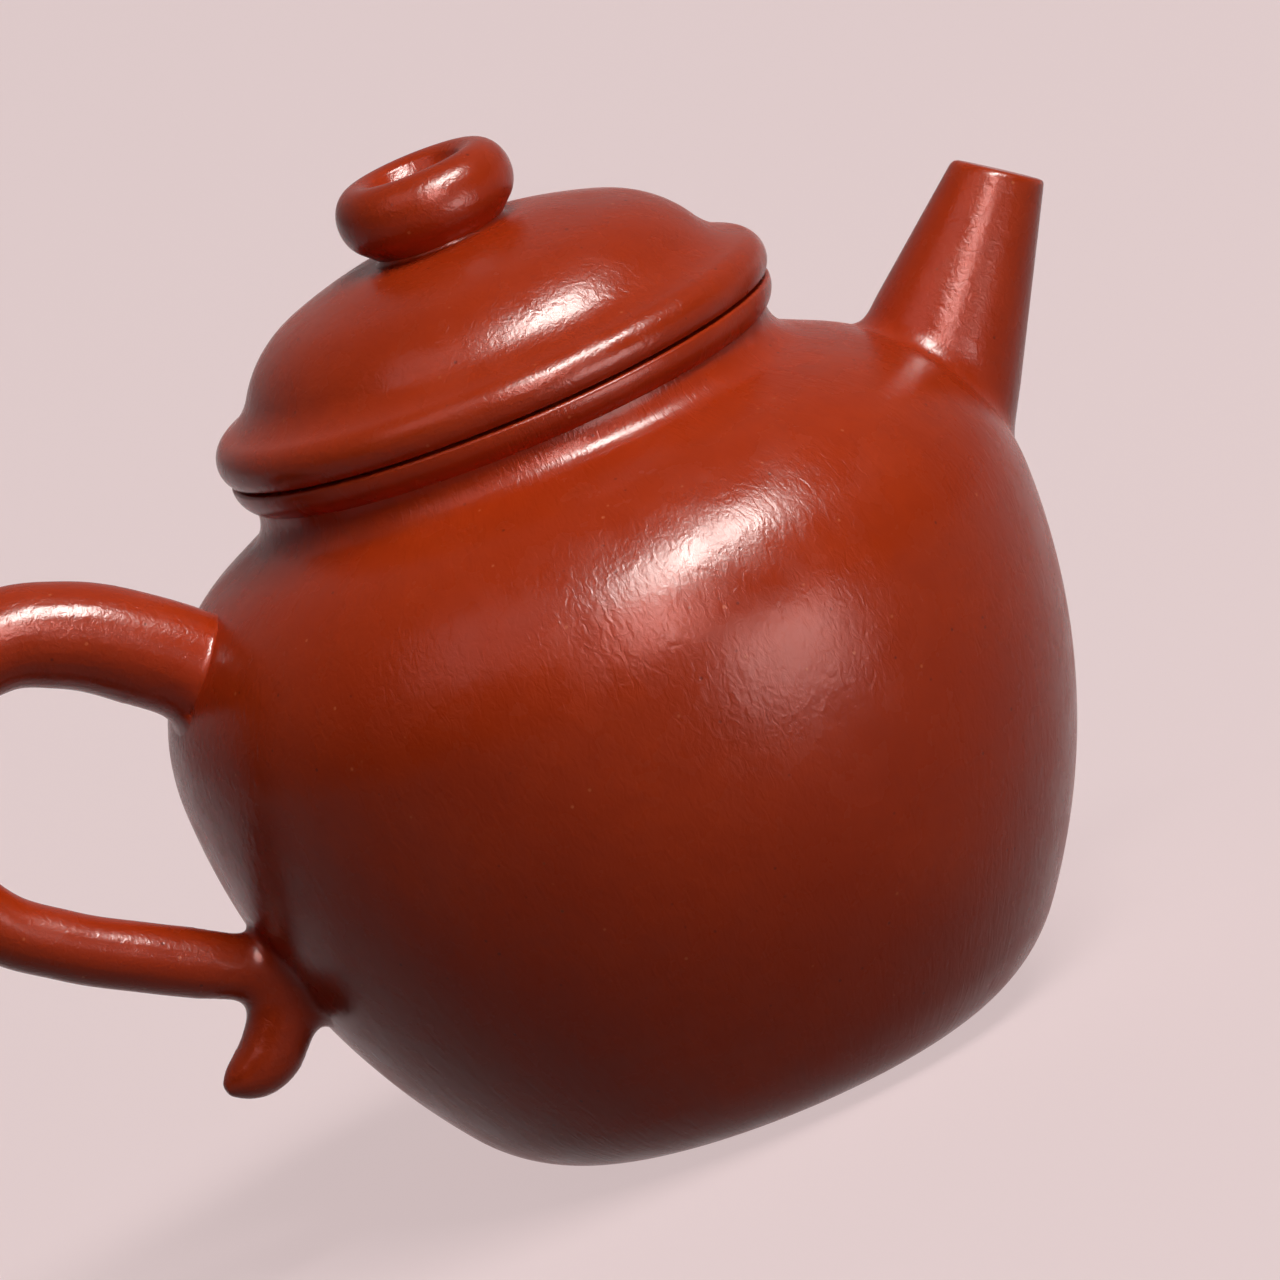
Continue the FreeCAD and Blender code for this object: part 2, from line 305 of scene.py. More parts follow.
clayBody = makeClay("burnishedClayBody", streak=0.55, specular=0.12)
clayPlain = makeClay("burnishedClay", streak=0, specular=0.15)  # handled more, so a little glossier
print("clay ready")


# pot body: base, wall, top disc, neck and bead

bodySet = {"wall": 3.0, "bellyR": 39.2, "bellyZ": 41.8, "flankR": 59.0, "heelR": 15.5,
           "shoulderR": 18.9, "slope": 26.0, "around": 192, "ring": 0.7, "trimAround": 96}
bellyR, bellyZ, wall = bodySet["bellyR"], bodySet["bellyZ"], bodySet["wall"]
flankX = bellyR - bodySet["flankR"]
shoulderX = bellyR - bodySet["shoulderR"]
heelDrop = bellyZ - bodySet["heelR"]
heelSpan = bodySet["flankR"] - bodySet["heelR"]
heelX = flankX + math.sqrt(heelSpan ** 2 - heelDrop ** 2)
heelEnd = math.degrees(math.asin(heelDrop / heelSpan))  # below level
shoulderEnd = 90 - bodySet["slope"]
slopeTan = math.tan(math.radians(bodySet["slope"]))


def shoulderTip(inset):
    reach = bodySet["shoulderR"] - inset
    return (shoulderX + reach * math.cos(math.radians(shoulderEnd)),
            bellyZ + reach * math.sin(math.radians(shoulderEnd)))


def slopeAt(r, inset):
    tipR, tipZ = shoulderTip(inset)
    return r, tipZ + (tipR - r) * slopeTan


def climbWall(bm, vert):  # from the foot of the heel to the end of the shoulder
    ring = bodySet["ring"]
    vert = penArc(bm, vert, heelX, bodySet["heelR"], 90 - heelEnd, ring)
    vert = penArc(bm, vert, flankX, bellyZ, heelEnd, ring)
    return penArc(bm, vert, shoulderX, bellyZ, shoulderEnd, ring)


def potVolume(inset, around):
    bm = bmesh.new()  # the filled pot, for trimming what is set on it
    vert = penStart(bm, 0, inset)
    vert = penLine(bm, vert, heelX, inset)
    vert = climbWall(bm, vert)
    penLine(bm, vert, *slopeAt(0, inset))
    turnOnWheel(bm, around)
    return bm


outsideMesh = potVolume(0, bodySet["around"])
outsideTree = BVHTree.FromBMesh(outsideMesh)
outsideMesh.free()

bm = bmesh.new()
vert = penStart(bm, 0, 0)
vert = penLine(bm, vert, heelX, 0)
vert = penLine(bm, vert, heelX, wall)
penLine(bm, vert, 0, wall)
turnOnWheel(bm, bodySet["around"])
shapeByHand(bm)
finishPiece(newObject(bm, "footDisc"), "pot", ["base_disc"], clayPlain)

spoutSet = {"lean": 41.0, "rootIn": 3.2, "rootUp": 10.0, "length": 17.4, "rootR": 7.5, "tipR": 4.05,
            "tipWall": 1.3, "rootWall": 2.4, "lipLean": 36.0, "lipRound": 0.35, "lipFlat": 0.01,
            "lipAngle": 0.7, "around": 128, "outCuts": 60, "inCuts": 30, "boreCuts": 4,
            "block": (30, 24, 30), "blockAt": (36, 0, 51),
            "softPasses": 2, "weldReach": 2.9, "weldPasses": 66}


def leaning(degrees):  # off upright, towards the spout
    return Vector((math.sin(math.radians(degrees)), 0, math.cos(math.radians(degrees))))


spoutAxis = leaning(spoutSet["lean"])
spoutRoot = Vector((bellyR - spoutSet["rootIn"], 0, bellyZ + spoutSet["rootUp"])) * mm
spoutBack = spoutSet["rootR"]  # how far the cone runs on into the pot before it is trimmed
boreRootR = spoutSet["rootR"] - spoutSet["rootWall"]
boreTipR = spoutSet["tipR"] - spoutSet["tipWall"]


def spoutCone(bm, rootR, tipR, past, cuts, ends):
    slim = (rootR - tipR) / spoutSet["length"]
    depth = spoutBack + spoutSet["length"] + past
    made = bmesh.ops.create_cone(bm, cap_ends=ends, segments=spoutSet["around"],
                                 radius1=(rootR + slim * spoutBack) * mm,
                                 radius2=(tipR - slim * past) * mm, depth=depth * mm)
    verts = made["verts"]
    sides = [e for e in bm.edges
             if e.verts[0] in verts and abs(e.verts[0].co.z - e.verts[1].co.z) > mm]
    bmesh.ops.subdivide_edges(bm, edges=sides, cuts=cuts)
    new = [v for v in bm.verts if not v.tag]
    bmesh.ops.translate(bm, vec=(0, 0, (depth / 2 - spoutBack) * mm), verts=new)
    bmesh.ops.rotate(bm, cent=(0, 0, 0), verts=new,
                     matrix=Matrix.Rotation(math.radians(spoutSet["lean"]), 3, "Y"))
    bmesh.ops.translate(bm, vec=spoutRoot, verts=new)
    for v in new:
        v.tag = True
    return new


bm = bmesh.new()
vert = penStart(bm, heelX, 0)
vert = climbWall(bm, vert)
vert = penLine(bm, vert, *shoulderTip(wall))
vert = penArc(bm, vert, shoulderX, bellyZ, -shoulderEnd, bodySet["ring"])
vert = penArc(bm, vert, flankX, bellyZ, -heelEnd, bodySet["ring"])
vert = penArc(bm, vert, heelX, bodySet["heelR"], heelEnd - 90, bodySet["ring"])
penLine(bm, vert, heelX, 0)
turnOnWheel(bm, bodySet["around"])
shapeByHand(bm)
bodyWall = newObject(bm, "bodyWall")
bm = bmesh.new()
spoutCone(bm, boreRootR, boreTipR, 0, spoutSet["boreCuts"], True)
bmesh.ops.recalc_face_normals(bm, faces=bm.faces[:])
carve(bodyWall, newObject(bm, "boreCutter"))
finishPiece(bodyWall, "pot", ["body_wall"], clayBody)

neckSet = {"mouthR": 20.6, "thick": 3.0, "cove": 3.2, "rise": 0.3, "beadH": 2.6, "beadOut": 1.3,
           "beadEdge": 0.3, "mouthRound": 0.5, "seatRound": 0.3,
           "coveStep": 0.2, "riseStep": 0.4, "beadStep": 0.15, "edgeStep": 0.08}
mouthR = neckSet["mouthR"]
neckR = mouthR + neckSet["thick"]
coveX = neckR + neckSet["cove"]
coveZ = slopeAt(coveX, 0)[1] + neckSet["cove"] / math.cos(math.radians(bodySet["slope"]))
coveFoot = (coveX - neckSet["cove"] * math.cos(math.radians(shoulderEnd)),
            coveZ - neckSet["cove"] * math.sin(math.radians(shoulderEnd)))
beadZ = coveZ + neckSet["rise"]
seatZ = beadZ + neckSet["beadH"]
beadR = neckR + neckSet["beadOut"]

bm = bmesh.new()
vert = penStart(bm, *shoulderTip(0))
vert = penLine(bm, vert, *slopeAt(mouthR, 0))
vert = penLine(bm, vert, *slopeAt(mouthR, wall))
vert = penLine(bm, vert, *shoulderTip(wall))
penLine(bm, vert, *shoulderTip(0))
softenCorners(bm, [slopeAt(mouthR, wall)], neckSet["mouthRound"])
turnOnWheel(bm, bodySet["around"])
shapeByHand(bm)
finishPiece(newObject(bm, "shoulderDisc"), "pot", ["shoulder_disc"], clayBody)

bm = bmesh.new()
vert = penStart(bm, *slopeAt(mouthR, 0))
vert = penLine(bm, vert, *coveFoot)
vert = penArc(bm, vert, coveX, coveZ, -shoulderEnd, neckSet["coveStep"])
vert = penLine(bm, vert, neckR, beadZ, neckSet["riseStep"])
vert = penLine(bm, vert, mouthR, beadZ)
penLine(bm, vert, *slopeAt(mouthR, 0))
turnOnWheel(bm, bodySet["around"])
shapeByHand(bm)
finishPiece(newObject(bm, "neckCollar"), "pot", ["neck_collar"], clayBody)

beadRise = neckSet["beadH"] - neckSet["beadEdge"]
beadArcR = (beadRise ** 2 + neckSet["beadOut"] ** 2) / (2 * neckSet["beadOut"])
beadSwing = math.degrees(math.asin(beadRise / beadArcR))
beadEdgeZ = seatZ - neckSet["beadEdge"]
bm = bmesh.new()
vert = penStart(bm, mouthR, beadZ)
vert = penLine(bm, vert, neckR, beadZ)
vert = penArc(bm, vert, beadR - beadArcR, beadEdgeZ, beadSwing, neckSet["beadStep"])
vert = penArc(bm, vert, beadR - neckSet["beadEdge"], beadEdgeZ, 90, neckSet["edgeStep"])
vert = penLine(bm, vert, mouthR, seatZ)
penLine(bm, vert, mouthR, beadZ)
softenCorners(bm, [(mouthR, seatZ)], neckSet["seatRound"])
turnOnWheel(bm, bodySet["around"])
shapeByHand(bm)
finishPiece(newObject(bm, "mouthBead"), "pot", ["mouth_rim"], clayBody)
print("pot body done")


# setting pieces on the pot: a piece and a stretch of the wall are melted together, the weld is
# smoothed like slip worked into the crease, and the wall's share is cut away again

weldSet = {"voxel": 0.3, "lumpIn": 0.15, "trimIn": 0.1, "fade": (1.0, 0.8, 0.6, 0.45), "merge": 0.015}


def wallLump(block, blockAt):
    bm = bmesh.new()
    bmesh.ops.create_cube(bm, size=mm)
    bmesh.ops.scale(bm, vec=block, verts=bm.verts[:])
    bmesh.ops.translate(bm, vec=Vector(blockAt) * mm, verts=bm.verts[:])
    lump = newObject(bm, "wallLump")
    carve(lump, newObject(potVolume(weldSet["lumpIn"], bodySet["trimAround"]), "lumpTrim"), "INTERSECT")
    bm = bmesh.new()
    bm.from_mesh(lump.data)
    bpy.data.objects.remove(lump)
    return bm


def meltTogether(name, parts):
    bm = bmesh.new()
    for part in parts:
        mesh = bpy.data.meshes.new("part")
        part.to_mesh(mesh)
        part.free()
        bm.from_mesh(mesh)
        bpy.data.meshes.remove(mesh)
    bmesh.ops.recalc_face_normals(bm, faces=bm.faces[:])
    piece = newObject(bm, name)
    melt = piece.modifiers.new("melt", "REMESH")
    melt.mode = "VOXEL"
    melt.voxel_size = weldSet["voxel"] * mm
    applyTools(piece)
    return piece


def smoothVerts(bm, verts, passes):
    for i in range(passes):
        bmesh.ops.smooth_vert(bm, verts=verts, factor=0.5,
                              use_axis_x=True, use_axis_y=True, use_axis_z=True)


def smoothWeld(bm, gaps, reach, passes):
    turns = passes // len(weldSet["fade"])
    for share in weldSet["fade"]:  # most in the crease, less towards the edge of the weld
        smoothVerts(bm, [v for v, gap in gaps if gap < share * reach * mm], turns)


def cutOffWall(piece, bm):
    bm.to_mesh(piece.data)
    bm.free()
    carve(piece, newObject(potVolume(weldSet["trimIn"], bodySet["trimAround"]), "wallTrim"))
    bm = bmesh.new()
    bm.from_mesh(piece.data)
    # slivers along the cut
    bmesh.ops.remove_doubles(bm, verts=bm.verts[:], dist=weldSet["merge"] * mm)
    bmesh.ops.dissolve_degenerate(bm, edges=bm.edges[:], dist=weldSet["merge"] * mm)
    bmesh.ops.recalc_face_normals(bm, faces=bm.faces[:])
    bm.to_mesh(piece.data)
    bm.free()


# spout

bm = bmesh.new()
lipNormal = leaning(spoutSet["lipLean"])
lipMiddle = spoutRoot + spoutAxis * spoutSet["length"] * mm
spoutCone(bm, spoutSet["rootR"], spoutSet["tipR"], spoutSet["tipR"], spoutSet["outCuts"], False)
spoutCone(bm, boreRootR, boreTipR, spoutSet["tipR"], spoutSet["inCuts"], False)
bmesh.ops.bisect_plane(bm, geom=bm.verts[:] + bm.edges[:] + bm.faces[:], plane_co=lipMiddle,
                       plane_no=lipNormal, clear_outer=True)
edges = [e for e in bm.edges if e.is_boundary]
for end in (True, False):
    loop = [e for e in edges if ((e.verts[0].co - lipMiddle).dot(lipNormal) > -mm) == end]
    bmesh.ops.bridge_loops(bm, edges=loop)
lipEdges = [e for e in bm.edges if e.calc_face_angle(0) > spoutSet["lipAngle"] and
            all(abs((v.co - lipMiddle).dot(lipNormal)) < spoutSet["lipFlat"] * mm for v in e.verts)]
bmesh.ops.bevel(bm, geom=lipEdges, offset=spoutSet["lipRound"] * mm, affect="EDGES", segments=4,
                profile=0.5, material=-1)
spout = meltTogether("pouringSpout", [bm, wallLump(spoutSet["block"], spoutSet["blockAt"])])
bm = bmesh.new()
bm.from_mesh(spout.data)
smoothVerts(bm, bm.verts[:], spoutSet["softPasses"])
smoothWeld(bm, [(v, outsideTree.find_nearest(v.co)[3]) for v in bm.verts],
           spoutSet["weldReach"], spoutSet["weldPasses"])
cutOffWall(spout, bm)
finishPiece(spout, "pot", ["spout"], clayPlain)
print("spout done")


# handle with its curled tail: rolled strips of clay, melted together and into the wall

handleSet = {"reach": 23.0, "rootR": 5.0, "armR": 3.05, "slim": 0.7, "width": 1.08,
             "profile": 12, "fine": 12,
             "points": [(-0.400, 0.343), (-0.074, 0.661), (0.200, 0.848), (0.470, 0.922),
                        (0.758, 0.826), (0.953, 0.565), (0.974, 0.261), (0.862, -0.026),
                        (0.635, -0.230), (0.374, -0.396), (0.070, -0.570), (-0.226, -0.739),
                        (-0.47, -0.86)]}
tailSet = {"rootR": 4.6, "tipR": 2.3, "tipShare": 0.22, "tipFlat": 0.25,
           "points": [(-0.45, -0.50), (-0.200, -0.660), (-0.035, -0.805), (0.092, -0.935),
                      (0.282, -0.990)]}
handleWeld = {"reach": 4.2, "passes": 100, "underReach": 5.0, "underPasses": 120, "underBelow": 51.0,
              "underTilt": -0.25, "softPasses": 1, "block": (24, 26, 48), "blockAt": (-38, 0, 37)}


def besideBelly(share):
    out, up = share
    return Vector((-bellyR - handleSet["reach"] * out, 0, bellyZ + handleSet["reach"] * up)) * mm


def rolledStrip(name, shares, thickness):
    line = bpy.data.curves.new(name, "CURVE")
    line.dimensions = "3D"
    line.resolution_u = handleSet["fine"]
    line.bevel_depth = mm
    line.bevel_resolution = handleSet["profile"]
    spline = line.splines.new("BEZIER")
    spline.bezier_points.add(len(shares) - 1)
    for point, share in zip(spline.bezier_points, shares):
        point.co = besideBelly(share)
        point.handle_left_type = point.handle_right_type = "AUTO"
    curve = bpy.data.objects.new(name, line)
    scene.collection.objects.link(curve)
    bpy.context.view_layer.update()
    bm = bmesh.new()
    bm.from_mesh(bpy.data.meshes.new_from_object(curve))
    bpy.data.objects.remove(curve)
    bm.verts.ensure_lookup_table()
    ringSize = 4 + 2 * handleSet["profile"]
    rings = [bm.verts[i:i + ringSize] for i in range(0, len(bm.verts), ringSize)]
    middles = [sum((v.co for v in ring), Vector()) / ringSize for ring in rings]
    runs = [0.0]
    for a, b in zip(middles, middles[1:]):
        runs.append(runs[-1] + (b - a).length)
    for ring, middle, run in zip(rings, middles, runs):
        size = thickness(run / runs[-1])
        bmesh.ops.scale(bm, vec=(size, size * handleSet["width"], size), verts=ring,
                        space=Matrix.Translation(-middle))
    bmesh.ops.holes_fill(bm, edges=[e for e in bm.edges if e.is_boundary])
    bmesh.ops.recalc_face_normals(bm, faces=bm.faces[:])
    return bm


def handleThickness(share):
    swing = math.pi * min(share / handleSet["slim"], 1)
    return handleSet["armR"] + (handleSet["rootR"] - handleSet["armR"]) * (1 + math.cos(swing)) / 2


def tailThickness(share):
    plain = tailSet["rootR"] + (tailSet["tipR"] - tailSet["rootR"]) * share
    intoTip = max(share - 1 + tailSet["tipShare"], 0) / tailSet["tipShare"]
    return plain * max(math.sqrt(1 - intoTip ** 2), tailSet["tipFlat"])


armMesh = rolledStrip("handleLine", handleSet["points"], handleThickness)
tailMesh = rolledStrip("tailLine", tailSet["points"], tailThickness)
armTree, tailTree = BVHTree.FromBMesh(armMesh), BVHTree.FromBMesh(tailMesh)
handle = meltTogether("earHandle", [armMesh, tailMesh,
                                    wallLump(handleWeld["block"], handleWeld["blockAt"])])
bm = bmesh.new()
bm.from_mesh(handle.data)
bm.normal_update()
smoothVerts(bm, bm.verts[:], handleWeld["softPasses"])
softWelds, underWelds = [], []
for v in bm.verts:
    gaps = sorted(tree.find_nearest(v.co)[3] for tree in (armTree, tailTree, outsideTree))
    if v.co.z < bellyZ * mm:
        softWelds.append((v, gaps[1]))  # near two of them: a weld
    elif v.normal.z < handleWeld["underTilt"] or v.co.z < handleWeld["underBelow"] * mm:
        underWelds.append((v, gaps[1]))  # under the upper arm
smoothWeld(bm, softWelds, handleWeld["reach"], handleWeld["passes"])
smoothWeld(bm, underWelds, handleWeld["underReach"], handleWeld["underPasses"])
cutOffWall(handle, bm)
finishPiece(handle, "pot", ["handle", "handle_tail"], clayPlain)
print("handle done")


# lid

lidSet = {"fit": 0.3, "flangeT": 2.4, "flangeDepth": 7.0, "flangeRound": 0.6, "overhang": 0.48,
          "rollR": 2.33, "under": 40.0, "underFull": 53.0, "seatIn": 1.6, "top": 70.0, "coveR": 5.8,
          "footLean": 31.0, "sideR": 10.85, "crownR": 44.0, "wall": 2.8, "ventR": 0.8,
          "ring": 0.4, "seatStep": 0.3, "rollStep": 0.18, "coveStep": 0.3, "sharp": 60}
flangeR = mouthR - lidSet["fit"]
flangeIn = flangeR - lidSet["flangeT"]


def away(degrees, length=1.0):
    return length * Vector((math.cos(math.radians(degrees)), math.sin(math.radians(degrees))))


rollMid = Vector((beadR + lidSet["overhang"] - lidSet["rollR"], seatZ))
rollMid.y += away(lidSet["underFull"], lidSet["rollR"]).y
coveMid = rollMid + away(lidSet["top"], lidSet["rollR"] + lidSet["coveR"])
domeFoot = coveMid - away(lidSet["footLean"], lidSet["coveR"])
sideMid = domeFoot - away(lidSet["footLean"], lidSet["sideR"])
sideEnd = math.degrees(math.acos(sideMid.x / (lidSet["crownR"] - lidSet["sideR"])))
crownZ = (sideMid - away(sideEnd, lidSet["crownR"] - lidSet["sideR"])).y

bm = bmesh.new()
low = seatZ - lidSet["flangeDepth"]
vert = penStart(bm, flangeIn, low)
vert = penLine(bm, vert, flangeR, low)
vert = penLine(bm, vert, flangeR, seatZ)
vert = penLine(bm, vert, flangeIn, seatZ)
penLine(bm, vert, flangeIn, low)
softenCorners(bm, [(flangeIn, low), (flangeR, low)], lidSet["flangeRound"])
turnOnWheel(bm, bodySet["around"])
shapeByHand(bm)
finishPiece(newObject(bm, "lidFlange"), "lid", ["lid_flange"], clayPlain)

knobSet = {"stemR": 5.8, "spread": 0.5, "dish": 0.3, "dishReach": 3.4, "ringR": 5.5, "ringZ": 83.18,
           "bulge": 2.47, "halfH": 3.07, "under": 52.0, "stemTop": 79.62, "lip": 32.0, "cup": 3.2,
           "around": 128, "step": 0.2, "spreadStep": 0.1}
ventR = lidSet["ventR"]
stemFoot = knobSet["stemR"] + knobSet["spread"]


def crownAt(r):
    return crownZ + math.sqrt(lidSet["crownR"] ** 2 - r ** 2)


dishR = stemFoot + knobSet["dishReach"]  # a faint dip around the stem
dishEnd = math.degrees(math.acos(dishR / lidSet["crownR"]))
stemZ = crownAt(stemFoot) - knobSet["dish"]
dishMid = (stemFoot + dishR) / 2
hollowH = crownZ + lidSet["crownR"] - lidSet["wall"] - domeFoot.y
bm = bmesh.new()
vert = penStart(bm, flangeIn, seatZ)
vert = penLine(bm, vert, beadR - lidSet["seatIn"], seatZ)  # rests on the inner part of the bead
vert = penLine(bm, vert, *(rollMid + away(-lidSet["under"], lidSet["rollR"])), lidSet["seatStep"])
vert = penArc(bm, vert, *rollMid, lidSet["under"] + lidSet["top"], lidSet["rollStep"])
vert = penArc(bm, vert, *coveMid, lidSet["footLean"] - lidSet["top"], lidSet["coveStep"])
vert = penArc(bm, vert, *sideMid, sideEnd - lidSet["footLean"], lidSet["ring"])
vert = penArc(bm, vert, 0, crownZ, dishEnd - sideEnd, lidSet["ring"])
vert = penThrough(bm, vert, (dishMid, crownAt(dishMid) - knobSet["dish"] / 4), (stemFoot, stemZ))
vert = penLine(bm, vert, ventR, stemZ)
penLine(bm, vert, ventR, domeFoot.y + hollowH * math.sqrt(1 - (ventR / flangeIn) ** 2))
ventSwing = math.degrees(math.asin(ventR / flangeIn))
penOval(bm, penStart(bm, flangeIn, domeFoot.y), domeFoot.y, hollowH, 90 - ventSwing, lidSet["ring"])
penLine(bm, penStart(bm, flangeIn, domeFoot.y), flangeIn, seatZ)
turnOnWheel(bm, bodySet["around"])
shapeByHand(bm)
finishPiece(newObject(bm, "lidCap"), "lid", ["lid_dome", "lid_brim"], clayPlain, lidSet["sharp"])

bm = bmesh.new()
vert = penStart(bm, ventR, stemZ)
vert = penLine(bm, vert, stemFoot, stemZ)
vert = penArc(bm, vert, stemFoot, stemZ + knobSet["spread"], -90, knobSet["spreadStep"])
vert = penLine(bm, vert, knobSet["stemR"], knobSet["stemTop"])
vert = penLine(bm, vert, ventR, knobSet["stemTop"])
penLine(bm, vert, ventR, stemZ)
turnOnWheel(bm, knobSet["around"])
shapeByHand(bm)
finishPiece(newObject(bm, "knobStem"), "lid", ["knob_stem"], clayPlain)

halfH = knobSet["halfH"]
ringMid = Vector((knobSet["ringR"], knobSet["ringZ"]))
bm = bmesh.new()
vert = penStart(bm, *(ringMid + away(-knobSet["under"], halfH)))
vert = penArc(bm, vert, *ringMid, 90 + knobSet["lip"] + knobSet["under"], knobSet["step"])
bmesh.ops.scale(bm, vec=(knobSet["bulge"] / halfH, 1, 1), verts=bm.verts[:],
                space=Matrix.Translation((-ringMid.x * mm, 0, -ringMid.y * mm)))
bm.verts.ensure_lookup_table()
start = bm.verts[0].co / mm
lipR, lipZ = vert.co.x / mm, vert.co.z / mm
cupZ = ringMid.y + halfH - knobSet["cup"]
cupSide = ((lipR + ventR) / 2, cupZ + (lipZ - cupZ) / 4)
vert = penThrough(bm, vert, cupSide, (ventR, cupZ), knobSet["step"])
vert = penLine(bm, vert, ventR, knobSet["stemTop"])
vert = penLine(bm, vert, knobSet["stemR"], knobSet["stemTop"])
penLine(bm, vert, start.x, start.z, knobSet["step"])  # slants out under the ring
turnOnWheel(bm, knobSet["around"])
shapeByHand(bm)
finishPiece(newObject(bm, "cuppedKnob"), "lid", ["knob"], clayPlain)
print("lid done")


# the strainer behind the spout keeps its shape and takes the clay
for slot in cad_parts["strainer"].material_slots:
    slot.material = clayPlain


# floor, light and camera

stageSet = {"floor": (0.22, 0.18, 0.183), "floorGlow": (0.60, 0.487, 0.487),
            "floorShade": (0.05, 0.04, 0.04), "floorSize": 14.0, "floorRough": 0.9, "floorGloss": 0.0,
            "room": (0.06, 0.045, 0.045), "backdrop": (0.42, 0.33, 0.33), "backdropRange": (-0.5, 0.5),
            "fill": (0.02, 0.016, 0.016), "lampAimZ": 45.0}


def lightMix(tree, forEye, forRest):
    path = tree.nodes.new("ShaderNodeLightPath")
    seen = path.outputs["Is Camera Ray"]
    for other in ("Is Glossy Ray", "Is Transmission Ray"):
        most = tree.nodes.new("ShaderNodeMath")
        most.operation = "MAXIMUM"
        tree.links.new(seen, most.inputs[0])
        tree.links.new(path.outputs[other], most.inputs[1])
        seen = most.outputs[0]
    mix = tree.nodes.new("ShaderNodeMixRGB")
    tree.links.new(seen, mix.inputs["Fac"])
    mix.inputs["Color1"].default_value = (*forRest, 1)
    if isinstance(forEye, tuple):
        mix.inputs["Color2"].default_value = (*forEye, 1)
    else:
        tree.links.new(forEye, mix.inputs["Color2"])
    return mix.outputs["Color"]


world = bpy.data.worlds.new("room")
scene.world = world
world.use_nodes = True
roomTree = world.node_tree
# pale behind the pot, a dimmer room in front of it
ways = roomTree.nodes.new("ShaderNodeTexCoord")
split = roomTree.nodes.new("ShaderNodeSeparateXYZ")
roomTree.links.new(ways.outputs["Generated"], split.inputs[0])
behind = roomTree.nodes.new("ShaderNodeMapRange")
behind.interpolation_type = "SMOOTHSTEP"
for socket, number in zip(("From Min", "From Max"), stageSet["backdropRange"]):
    behind.inputs[socket].default_value = number
roomTree.links.new(split.outputs["Y"], behind.inputs["Value"])
backdrop = roomTree.nodes.new("ShaderNodeMixRGB")
roomTree.links.new(behind.outputs["Result"], backdrop.inputs["Fac"])
backdrop.inputs["Color1"].default_value = (*stageSet["room"], 1)
backdrop.inputs["Color2"].default_value = (*stageSet["backdrop"], 1)
roomLight = lightMix(roomTree, backdrop.outputs["Color"], stageSet["fill"])
roomTree.links.new(roomLight, roomTree.nodes["Background"].inputs["Color"])

bm = bmesh.new()
bmesh.ops.create_grid(bm, x_segments=1, y_segments=1, size=stageSet["floorSize"] / 2)
floor = newObject(bm, "floor")
floorPaint = bpy.data.materials.new("paleFloor")
floorPaint.use_nodes = True
floorTree = floorPaint.node_tree
floorShader = floorTree.nodes["Principled BSDF"]
floorShader.inputs["Roughness"].default_value = stageSet["floorRough"]
floorShader.inputs["Specular IOR Level"].default_value = stageSet["floorGloss"]
floorTint = lightMix(floorTree, stageSet["floor"], stageSet["floorShade"])
floorTree.links.new(floorTint, floorShader.inputs["Base Color"])
glow = lightMix(floorTree, stageSet["floorGlow"], (0, 0, 0))  # evens out the pale ground
floorTree.links.new(glow, floorShader.inputs["Emission Color"])
floorShader.inputs["Emission Strength"].default_value = 1.0
floor.data.materials.append(floorPaint)
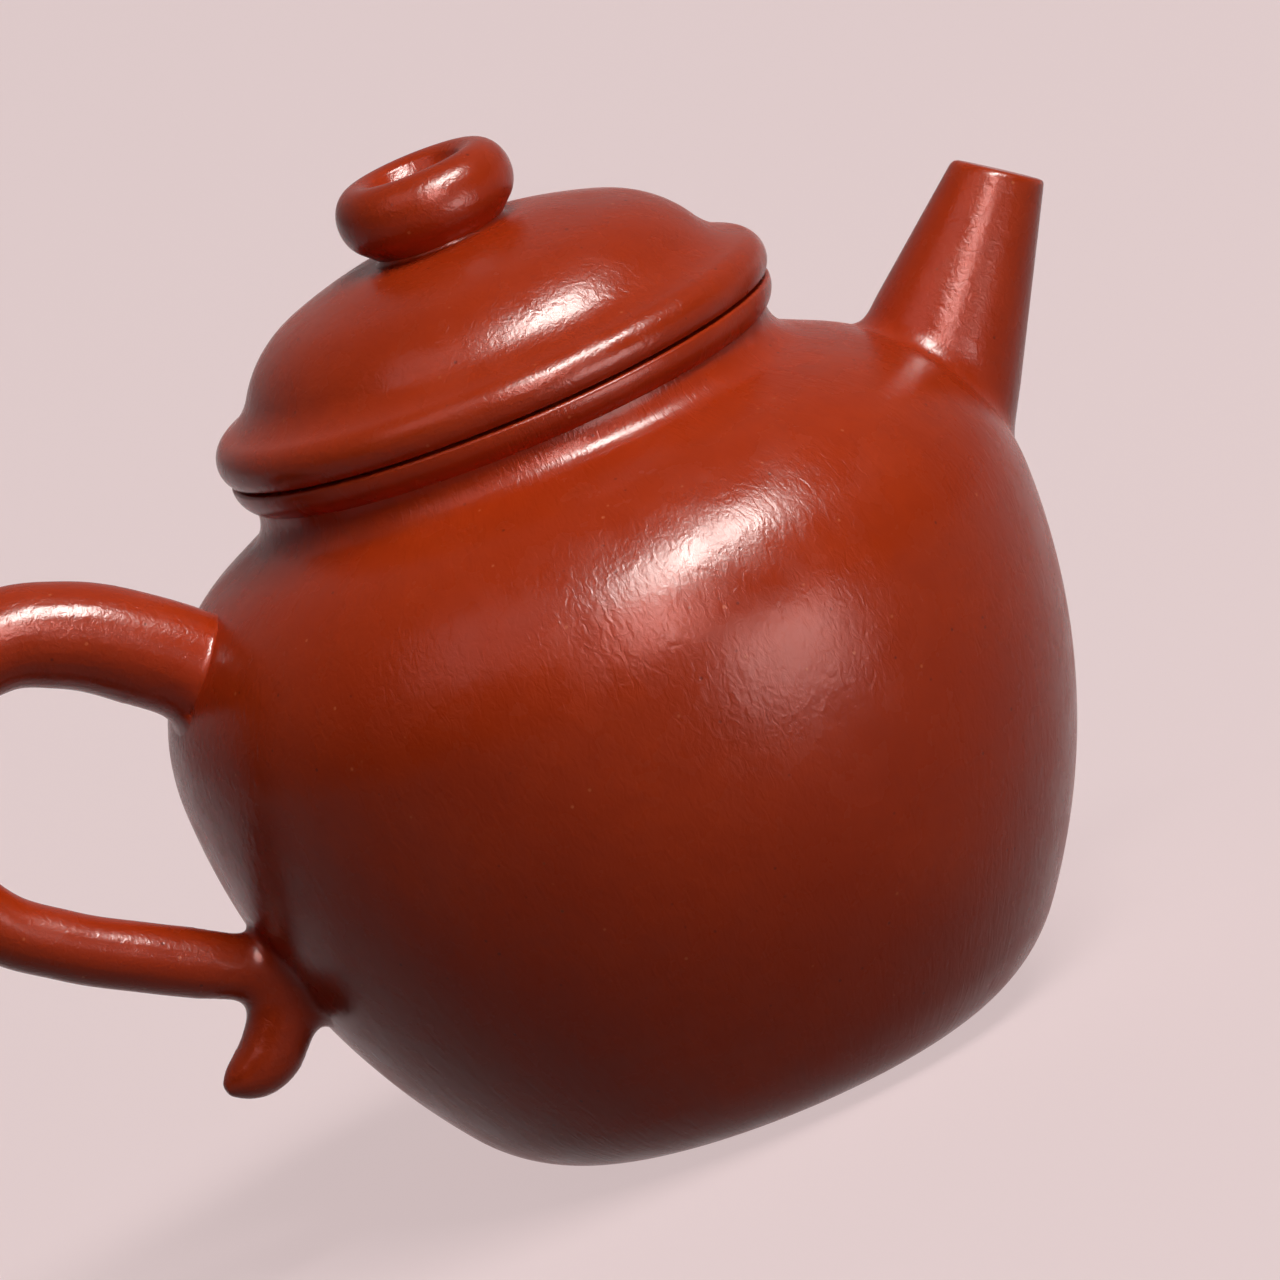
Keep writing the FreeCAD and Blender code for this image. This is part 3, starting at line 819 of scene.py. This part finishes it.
floor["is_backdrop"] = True

lampSet = {
    "keyStrip": {"az": -60, "el": 55, "far": 4.0, "size": (3.0, 0.9), "power": 137.0,
                 "tint": (1, 0.97, 0.94)},
    "keyGlint": {"az": -57, "el": 51, "far": 4.0, "size": (2.6, 0.75), "power": 900.0,
                 "tint": (1, 0.95, 0.9), "glossOnly": True},
    "frontSoft": {"az": -72, "el": 10, "far": 4.0, "size": (2.0, 0.8), "power": 28.0,
                  "tint": (1, 0.98, 0.98), "dullOnly": True},
    "backSoft": {"az": 80, "el": 5, "far": 4.0, "size": (2.4, 0.4), "power": 50.0,
                 "tint": (1, 0.97, 0.95), "dullOnly": True},
    "frontGlint": {"az": -86, "el": 30, "far": 2.0, "size": (0.45, 0.95), "power": 46.0,
                   "tint": (1, 0.93, 0.9), "glossOnly": True},
    "lowCard": {"az": -62, "el": -11, "far": 0.16, "size": (0.08, 0.085), "power": 0.38,
                "tint": (1, 0.9, 0.88), "glossOnly": True},
    "leftPanel": {"az": -139, "el": 48, "far": 1.5, "size": (0.9, 0.9), "power": 9.0,
                  "tint": (1, 0.88, 0.9), "glossOnly": True},
}
aim = Vector((0, 0, stageSet["lampAimZ"] * mm))
for name, given in lampSet.items():
    lamp = bpy.data.lights.new(name, "AREA")
    lamp.shape = "RECTANGLE"
    lamp.size, lamp.size_y = given["size"]
    lamp.energy = given["power"]
    lamp.color = given["tint"]
    lampObject = bpy.data.objects.new(name, lamp)
    scene.collection.objects.link(lampObject)
    az, el = math.radians(given["az"]), math.radians(given["el"])
    way = Vector((math.cos(az) * math.cos(el), math.sin(az) * math.cos(el), math.sin(el)))
    lampObject.location = aim + way * given["far"]
    lampObject.rotation_euler = way.to_track_quat("Z", "Y").to_euler()
    lampObject.visible_camera = False
    lampObject.visible_diffuse = not given.get("glossOnly", False)
    lampObject.visible_glossy = not given.get("dullOnly", False)

cameraSet = {"far": 2.0, "el": 10.2, "az": 10.0, "roll": -22.4, "lens": 653.3, "aimZ": 33.0,
             "acrossMm": -0.336, "upMm": 7.645, "sensor": 36, "clipEnd": 20}
camera = bpy.data.objects.new("camera", bpy.data.cameras.new("camera"))
scene.collection.objects.link(camera)
az, el = math.radians(cameraSet["az"]), math.radians(cameraSet["el"])
back = Vector((-math.sin(az) * math.cos(el), -math.cos(az) * math.cos(el), math.sin(el)))
turn = back.to_track_quat("Z", "Y").to_matrix() @ Matrix.Rotation(math.radians(cameraSet["roll"]), 3, "Z")
aim = Vector((0, 0, cameraSet["aimZ"] * mm))
aim += turn @ Vector((cameraSet["acrossMm"], cameraSet["upMm"], 0)) * mm
camera.location = aim + back * cameraSet["far"]
camera.rotation_euler = turn.to_euler()
camera.data.sensor_width = cameraSet["sensor"]
camera.data.lens = cameraSet["lens"]
camera.data.clip_end = cameraSet["clipEnd"]
scene.camera = camera
print("stage done")

low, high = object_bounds()
